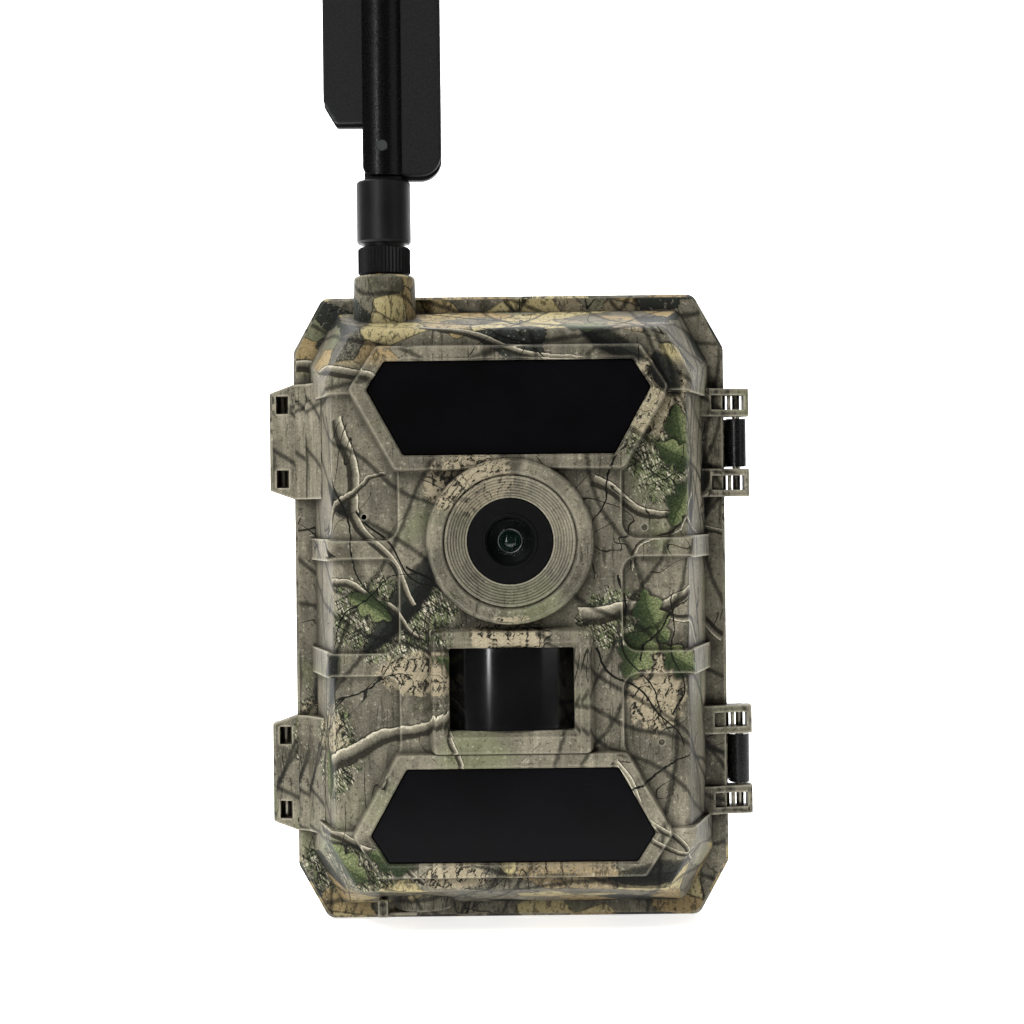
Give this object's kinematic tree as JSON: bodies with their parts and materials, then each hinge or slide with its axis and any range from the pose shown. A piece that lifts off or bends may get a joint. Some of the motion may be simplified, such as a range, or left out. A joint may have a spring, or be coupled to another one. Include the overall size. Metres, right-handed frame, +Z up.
{
  "type": "trail camera",
  "caption": "Trail camera in a camouflage weatherproof case: infrared lamp windows, motion sensor, latched swing-open cover, tree bracket and folding antenna.",
  "frame": {"origin": "mouth centre of the tripod thread in the foot of the rear housing, on the plane the camera stands on", "axes": "+Z up, -Y out of the front of the camera, +X to the right when facing the front"},
  "size_m": [0.1139, 0.0788, 0.342],
  "materials": {
    "camo_shell": "matte, printed leaf and bark camouflage",
    "black_shell": "fine matte texture",
    "window_acrylic": "polished dark acrylic",
    "pir_film": "polished dark polyethylene",
    "seal_rubber": "matte",
    "plug_rubber": "matte",
    "pin_steel": "drawn",
    "screw_steel": "blackened",
    "brass": "turned",
    "nickel": "plated",
    "cell_wrap": "printed film over a metal can",
    "lens_black": "matte",
    "lens_glass": "coated",
    "board_green": "solder mask",
    "lamp_resin": "clear dark resin",
    "chip_black": "moulded",
    "key_rubber": "satin",
    "switch_plastic": "matte",
    "display_black": "screen",
    "display_pane": "polished",
    "card_plastic": "satin",
    "sim_plastic": "satin",
    "antenna_satin": "satin",
    "coax_jacket": "satin"
  },
  "bodies": {
    "back": {"back_housing": "black_shell", "housing_gasket": "seal_rubber", "tripod_insert": "brass", "tree_bracket": "black_shell", "bracket_screws": "screw_steel", "battery_tray": "black_shell", "tray_screws": "screw_steel", "battery_cells": "cell_wrap", "cell_springs": "nickel", "cell_contacts": "nickel", "hinge_pins": "pin_steel", "power_pins": "brass"},
    "cover": {"front_cover": "camo_shell", "upper_window": "window_acrylic", "lower_window": "window_acrylic", "window_gaskets": "seal_rubber", "lens_bezel": "lens_black", "lens_glass": "lens_glass", "lens_barrel": "lens_black", "lens_holder": "lens_black", "image_sensor": "chip_black", "pir_lens": "pir_film", "pir_sensor": "nickel", "upper_lamp_board": "board_green", "lower_lamp_board": "board_green", "upper_lamps": "lamp_resin", "lower_lamps": "lamp_resin", "main_board": "board_green", "board_parts": "chip_black", "inner_panel": "black_shell", "panel_screws": "screw_steel", "display_module": "display_black", "display_glass": "display_pane", "card_socket": "nickel", "sim_socket": "nickel", "speaker": "chip_black", "dc_jack": "chip_black", "coax_lead": "coax_jacket", "power_pads": "brass", "latch_pins": "pin_steel", "antenna_jack": "brass"},
    "upper_latch": {"upper_latch": "black_shell"},
    "lower_latch": {"lower_latch": "black_shell"},
    "antenna_nut": {"antenna_nut": "antenna_satin"},
    "antenna_base": {"antenna_collar": "antenna_satin"},
    "antenna_blade": {"blade_front": "antenna_satin", "blade_back": "antenna_satin", "blade_radiator": "board_green", "pivot_pin": "screw_steel"},
    "filter": {"ir_cut_filter": "chip_black"},
    "switch": {"power_switch": "switch_plastic"},
    "memory_card": {"memory_card": "card_plastic"},
    "sim_card": {"sim_card": "sim_plastic"},
    "port_plug": {"port_plug": "plug_rubber"},
    "key_up": {"key_up": "key_rubber"},
    "key_down": {"key_down": "key_rubber"},
    "key_left": {"key_left": "key_rubber"},
    "key_right": {"key_right": "key_rubber"},
    "key_ok": {"key_ok": "key_rubber"},
    "key_menu": {"key_menu": "key_rubber"}
  },
  "joints": [
    {"name": "cover_hinge", "type": "hinge", "parent": "back", "child": "cover", "pos_m": [-0.0543, -0.02, 0.0742], "axis": [0, 0, -1], "range_deg": [0, 120]},
    {"name": "upper_latch_hinge", "type": "hinge", "parent": "cover", "child": "upper_latch", "pos_m": [0.0542, -0.0222, 0.1125], "axis": [0, 0, -1], "range_deg": [0, 100]},
    {"name": "lower_latch_hinge", "type": "hinge", "parent": "cover", "child": "lower_latch", "pos_m": [0.0542, -0.0222, 0.0374], "axis": [0, 0, -1], "range_deg": [0, 100]},
    {"name": "antenna_nut_turn", "type": "hinge", "parent": "cover", "child": "antenna_nut", "pos_m": [-0.02885, -0.03, 0.1555], "axis": [0, 0, 1], "continuous": true},
    {"name": "antenna_swivel", "type": "hinge", "parent": "cover", "child": "antenna_base", "pos_m": [-0.02885, -0.03, 0.165], "axis": [0, 0, 1], "continuous": true},
    {"name": "antenna_fold", "type": "hinge", "parent": "antenna_base", "child": "antenna_blade", "pos_m": [-0.02885, -0.03, 0.1823], "axis": [0, -1, 0], "range_deg": [0, 75]},
    {"name": "power_switch_slide", "type": "slide", "parent": "cover", "child": "switch", "axis": [0, 0, 1], "range_m": [0, 0.008]},
    {"name": "memory_card_slide", "type": "slide", "parent": "cover", "child": "memory_card", "axis": [1, 0, 0], "range_m": [0, 0.005]},
    {"name": "sim_card_slide", "type": "slide", "parent": "cover", "child": "sim_card", "axis": [-1, 0, 0], "range_m": [0, 0.005]},
    {"name": "filter_slide", "type": "slide", "parent": "cover", "child": "filter", "axis": [1, 0, 0], "range_m": [0, 0.0063]},
    {"name": "port_plug_slide", "type": "slide", "parent": "cover", "child": "port_plug", "axis": [0, 0, -1], "range_m": [0, 0.01]},
    {"name": "key_up_press", "type": "slide", "parent": "cover", "child": "key_up", "axis": [0, -1, 0], "range_m": [0, 0.0006], "stiffness_N_per_m": 900, "springref_m": -0.0006},
    {"name": "key_down_press", "type": "slide", "parent": "cover", "child": "key_down", "axis": [0, -1, 0], "range_m": [0, 0.0006], "stiffness_N_per_m": 900, "springref_m": -0.0006},
    {"name": "key_left_press", "type": "slide", "parent": "cover", "child": "key_left", "axis": [0, -1, 0], "range_m": [0, 0.0006], "stiffness_N_per_m": 900, "springref_m": -0.0006},
    {"name": "key_right_press", "type": "slide", "parent": "cover", "child": "key_right", "axis": [0, -1, 0], "range_m": [0, 0.0006], "stiffness_N_per_m": 900, "springref_m": -0.0006},
    {"name": "key_ok_press", "type": "slide", "parent": "cover", "child": "key_ok", "axis": [0, -1, 0], "range_m": [0, 0.0006], "stiffness_N_per_m": 900, "springref_m": -0.0006},
    {"name": "key_menu_press", "type": "slide", "parent": "cover", "child": "key_menu", "axis": [0, -1, 0], "range_m": [0, 0.0006], "stiffness_N_per_m": 900, "springref_m": -0.0006}
  ]
}
